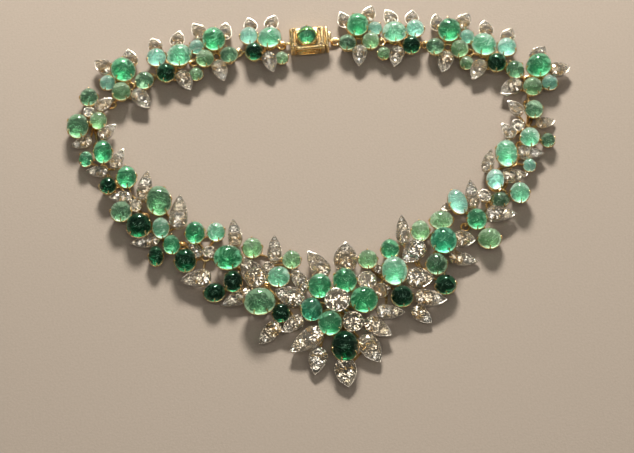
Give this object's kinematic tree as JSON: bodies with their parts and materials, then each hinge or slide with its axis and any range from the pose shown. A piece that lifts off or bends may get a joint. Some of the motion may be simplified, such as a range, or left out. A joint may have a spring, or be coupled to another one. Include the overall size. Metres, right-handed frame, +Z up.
{
  "type": "necklace",
  "caption": "Collar necklace of cabochon emeralds and diamond-set leaves on linked gold frames, with a drop-shaped centre cluster and a box clasp, lying closed.",
  "frame": {"origin": "centre of the part's box on the surface it lies on", "axes": "+Z up, out of the front of the stones; -Y to the drop at the front, +Y to the clasp; +X to the viewer's right"},
  "size_m": [0.163, 0.1346, 0.0092],
  "materials": {
    "yellow_gold": "polished yellow gold: collets, claws, galleries and clasp",
    "white_metal": "polished platinum: leaf settings with raised bright rims and beads",
    "emerald": "polished cabochon emerald, translucent, with inclusions, pale mint to very dark green",
    "diamond": "clear round brilliant, faceted"
  },
  "bodies": {
    "root": {"centre_cluster": "yellow_gold", "clasp_box": "yellow_gold", "clasp_tongue": "yellow_gold", "emerald_centre_1": "emerald", "emerald_centre_2": "emerald", "emerald_centre_3": "emerald", "emerald_centre_4": "emerald", "emerald_centre_5": "emerald", "emerald_centre_6": "emerald", "emerald_left_10_1": "emerald", "emerald_left_11_2": "emerald", "emerald_left_1_2": "emerald", "emerald_left_2_3": "emerald", "emerald_left_3_3": "emerald", "emerald_left_4_3": "emerald", "emerald_left_4_5": "emerald", "emerald_left_5_2": "emerald", "emerald_left_6_1": "emerald", "emerald_left_7_1": "emerald", "emerald_left_8_1": "emerald", "emerald_left_9_2": "emerald", "emerald_right_10_1": "emerald", "emerald_right_11_2": "emerald", "emerald_right_12_1": "emerald", "emerald_right_1_3": "emerald", "emerald_right_3_2": "emerald", "emerald_right_3_3": "emerald", "emerald_right_4_1": "emerald", "emerald_right_6_1": "emerald", "emerald_right_8_1": "emerald", "emerald_right_9_2": "emerald", "left_link_1": "yellow_gold", "left_link_10": "yellow_gold", "left_link_11": "yellow_gold", "left_link_2": "yellow_gold", "left_link_3": "yellow_gold", "left_link_4": "yellow_gold", "left_link_5": "yellow_gold", "left_link_6": "yellow_gold", "left_link_7": "yellow_gold", "left_link_8": "yellow_gold", "left_link_9": "yellow_gold", "right_link_1": "yellow_gold", "right_link_10": "yellow_gold", "right_link_11": "yellow_gold", "right_link_12": "yellow_gold", "right_link_2": "yellow_gold", "right_link_3": "yellow_gold", "right_link_4": "yellow_gold", "right_link_5": "yellow_gold", "right_link_6": "yellow_gold", "right_link_7": "yellow_gold", "right_link_8": "yellow_gold", "right_link_9": "yellow_gold"}
  },
  "joints": []
}
